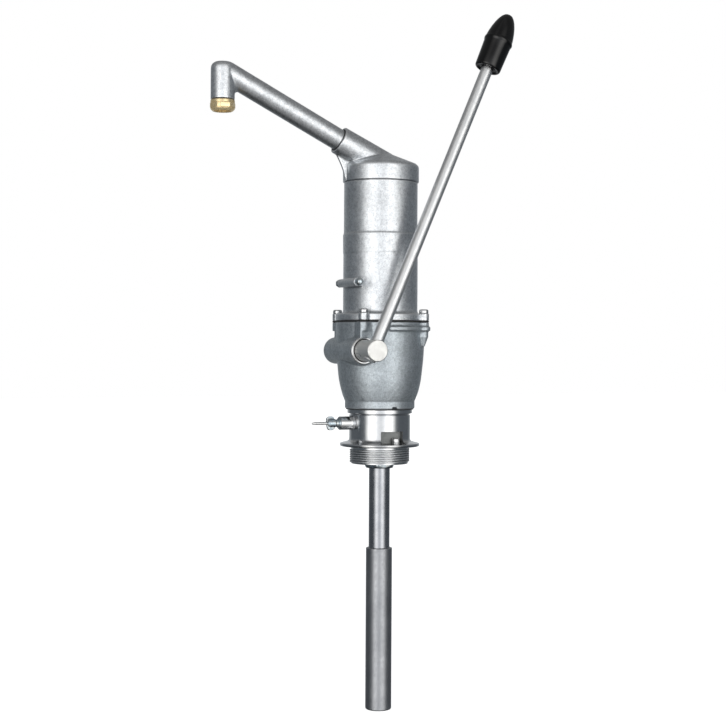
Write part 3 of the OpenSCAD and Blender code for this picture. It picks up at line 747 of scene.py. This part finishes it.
def stay_bolt():
    """Round-head cross bolt of the casing's lug, its thread and its nut."""
    low, high = box_mm("casing_stay_bolt")
    x, z = (low[0] + high[0]) / 2, (low[2] + high[2]) / 2
    rows = [(0.01, 0), (1.2, 0.04), (2.4, 0.35), (3.5, 1.0), (4.3, 2.0), (4.75, 3.3), (4.8, 4.6),
            (4.8, 9.9), (4.7, 10.7), (4.3, 11.3), (4.0, 11.5), (3.0, 11.5), (3.0, 12.2), (3.0, 70.5)]
    end = high[1] - low[1]
    step = 71.2
    while step < end - 0.8:
        rows += [(2.55, step + 0.35), (3.0, step + 0.8)]
        step += 0.9
    rows += [(2.3, end), (0.01, end)]
    bolt = shell("stay_bolt", rows, along((x, low[1], z), (0, 1, 0)), closed=False, segments=96)
    finish_with(bolt, "zinc_steel", "head", "zinc_steel", "casing_stay_bolt")
    low, high = box_mm("casing_stay_nut")
    rows = hex_rows(10, high[1] - low[1], 3.0, 96)
    nut = shell("stay_nut", rows, along((x, low[1], z), (0, 1, 0)), segments=96)
    finish_with(nut, "zinc_steel", "head", "zinc_steel", "casing_stay_nut")


def drain_cock():
    """The wing nut, smoothed like a small casting."""
    nut = casting("drain_wing_nut", "drain_nut", voxel=0.3, rounds=26, hold=0.05, relief=0)
    finish_with(nut, "zinc_steel", "drain_nut", "zinc_steel", "drain_nut")


def pocket_block():
    """The milled pocket in the neck's front, as a block with rounded edges."""
    low, high = np.array((-15.5, -62.0, 4.2)), np.array((16.7, -27.4, 21.2))
    block = bmesh.new()
    bmesh.ops.create_cube(block, size=1)
    for vertex in block.verts:
        share = np.array(vertex.co) + 0.5
        vertex.co = Vector(low + (high - low) * share) * MM
    bmesh.ops.bevel(block, geom=block.edges[:], offset=1.4 * MM, segments=3, affect="EDGES", profile=0.5)
    mesh = bpy.data.meshes.new("pocket")
    block.to_mesh(mesh)
    block.free()
    return new_object("pocket", mesh)


def neck():
    """Machined neck with its well flange, a true helical thread below it and a milled pocket."""
    drain_z = (sum(box_mm("drain_body")) / 2)[2]
    outer, groove, rim = 40.8, 39.3, 43.3
    outline = soften([(14, -22.8), (37.9, -22.8), (THREAD_CORE, -22.2), (THREAD_CORE, 0.7), (40.6, 0.7),
                      (40.6, 0), (50.4, 0), (52.8, 0.7), (53.4, 2.8), (53, 4.4), (47, 6), (43.4, 6.9),
                      (41.3, 8.6), (outer, 10.6), (outer, 42.2), (groove, 42.6), (groove, 43.4),
                      (rim, 44.6), (rim, 49.55), (38, 49.55), (38, 60), (34, 60), (34, 44), (25, 44),
                      (25, -12.8), (14, -12.8)], 0.35)
    body = shell("neck_body", outline, segments=224)
    boolean(body, pocket_block(), "DIFFERENCE")
    hole = shell("screw_hole", [(0.01, -14), (3, -14), (3, 7), (0.01, 7)], along(LOCK_SCREW, UP),
                 closed=False, segments=48)
    boolean(body, hole, "DIFFERENCE")
    outline = soften([(0.01, 0), (11, 0), (10.9, 5.4), (10.3, 7), (9.6, 8.4), (9.1, 9.8), (8.9, 11.6),
                      (8.9, 25.4), (8.3, 26), (0.01, 26)], 0.6, closed=False)
    boss = shell("drain_boss", outline, along((-33, 0, drain_z), (-1, 0, 0)), closed=False, segments=96)
    inside = shell("boss_limit", [(0.01, -5), (27, -5), (27, 60), (0.01, 60)], closed=False, segments=96)
    boolean(boss, inside, "DIFFERENCE")
    boolean(body, boss, "UNION")
    passage = shell("drain_bore", [(0.01, 0), (1.4, 0), (1.4, 21), (5, 21), (5, 40.5), (0.01, 40.5)],
                    along((-20, 0, drain_z), (-1, 0, 0)), closed=False, segments=64)
    boolean(body, passage, "DIFFERENCE")
    set_smooth(body, 32)
    finish_with(body, "machined_aluminium", "head", "machined_aluminium", "neck_base")
    helix = thread_ridge("neck_thread", THREAD_CORE - 0.5, THREAD_CREST, pitch=3.0, foot=-21.5, top=-2.2)
    finish_with(helix, "cut_thread", "head", "machined_aluminium")


def set_smooth(thing, degrees):
    """Smooth shading, with edges sharp where the faces meet at more than the angle."""
    mesh = thing.data
    mesh.polygons.foreach_set("use_smooth", [True] * len(mesh.polygons))
    mesh.set_sharp_from_angle(angle=math.radians(degrees))


def thread_ridge(name, root, crest, pitch, foot, top, per_turn=120):
    """A helical ridge that fades in and out at its ends."""
    steps = int((top - foot) / pitch * per_turn)
    points, faces = [], []
    fade_steps = 40
    section = [(0, -0.48), (0.88, -0.29), (0.97, -0.25), (1, -0.2), (1, 0.2), (0.97, 0.25), (0.88, 0.29),
               (0, 0.48)]
    for i in range(steps + 1):
        angle = 2 * math.pi * i / per_turn
        height = foot + pitch * i / per_turn
        fade = min(1, i / fade_steps, (steps - i) / fade_steps)
        for out, up in section:
            radius = root + (crest - root) * out * fade
            points.append((radius * math.cos(angle), radius * math.sin(angle), height + up * pitch))
    wide = len(section)
    for i in range(steps):
        for k in range(wide):
            k2 = (k + 1) % wide
            faces.append((i * wide + k, i * wide + k2, (i + 1) * wide + k2, (i + 1) * wide + k))
    faces.append(tuple(range(wide)))
    faces.append(tuple(steps * wide + k for k in reversed(range(wide))))
    return mesh_object(name, points, faces)


def lock_screw():
    """Knurled socket-head screw in the neck's pocket, on its washer."""
    top = box_mm("lock_screw")[1][2]
    segments = 144
    knurl = 5.0 - 0.14 * (0.5 + 0.5 * np.cos(np.arange(segments) * 2 * math.pi / segments * 36))
    socket = hexagon(5, segments, 0.1)
    rows = [(0.01, -15), (2.6, -15), (3, -14.5), (3, 4.2), (5.2, 4.2), (5.3, 4.35), (5.3, 5.65), (5.2, 5.8),
            (4.7, 5.8), (4.85, 6.1), (knurl, 6.4), (knurl, 8.5), (knurl, 11.2), (4.75, 11.8), (4.3, top),
            (socket + 0.25, top), (socket, top - 0.25), (socket, 9.2), (socket * 0.9, 9.0), (0.01, 9.0)]
    thing = shell("lock_screw_head", rows, along(LOCK_SCREW, UP), closed=False, segments=segments)
    finish_with(thing, "bright_steel", "head", "bright_steel", "lock_screw")


def riser_nut():
    """Hexagon nut under the neck, its lower corners turned away to a cone."""
    low, high = box_mm("riser_nut")
    foot, top = low[2], high[2]
    bore, cone = 14.02, 18.3
    wall = hexagon(38, 192, 1.2, 30)
    fall = np.maximum(0, wall - cone)
    rows = [(bore, top), (20, top), (wall - 0.3, top), (wall, top - 0.4), (wall, top - 2.0),
            (cone + fall * 0.85, foot + 3.0), (cone + fall * 0.45, foot + 1.5), (18.2, foot + 0.3),
            (17.8, foot), (bore, foot)]
    thing = shell("riser_hex_nut", rows, segments=192)
    finish_with(thing, "zinc_steel", "head", "zinc_steel", "riser_nut")


def plain_nodes():
    """Gives every CAD node the finish of its slot. Three of them have a steel of their own."""
    special = {"lever_rod": "lever_steel", "lever_hub": "hub_steel", "riser_pipe": "riser_steel"}
    for name, thing in nodes.items():
        slot = thing.data.materials[0].name.split(".")[0]
        thing.material_slots[0].material = finishes[special.get(name, slot)]


bpy.context.scene.view_settings.view_transform = "Standard"
make_camera()
make_world()
make_floor(cad_box[0].z)
finishes = make_finishes()
plain_nodes()
cast_pieces()
boss_ring()
grip()
nozzle()
flange_bolts()
stay_bolt()
drain_cock()
neck()
lock_screw()
riser_nut()

bpy.context.view_layer.update()
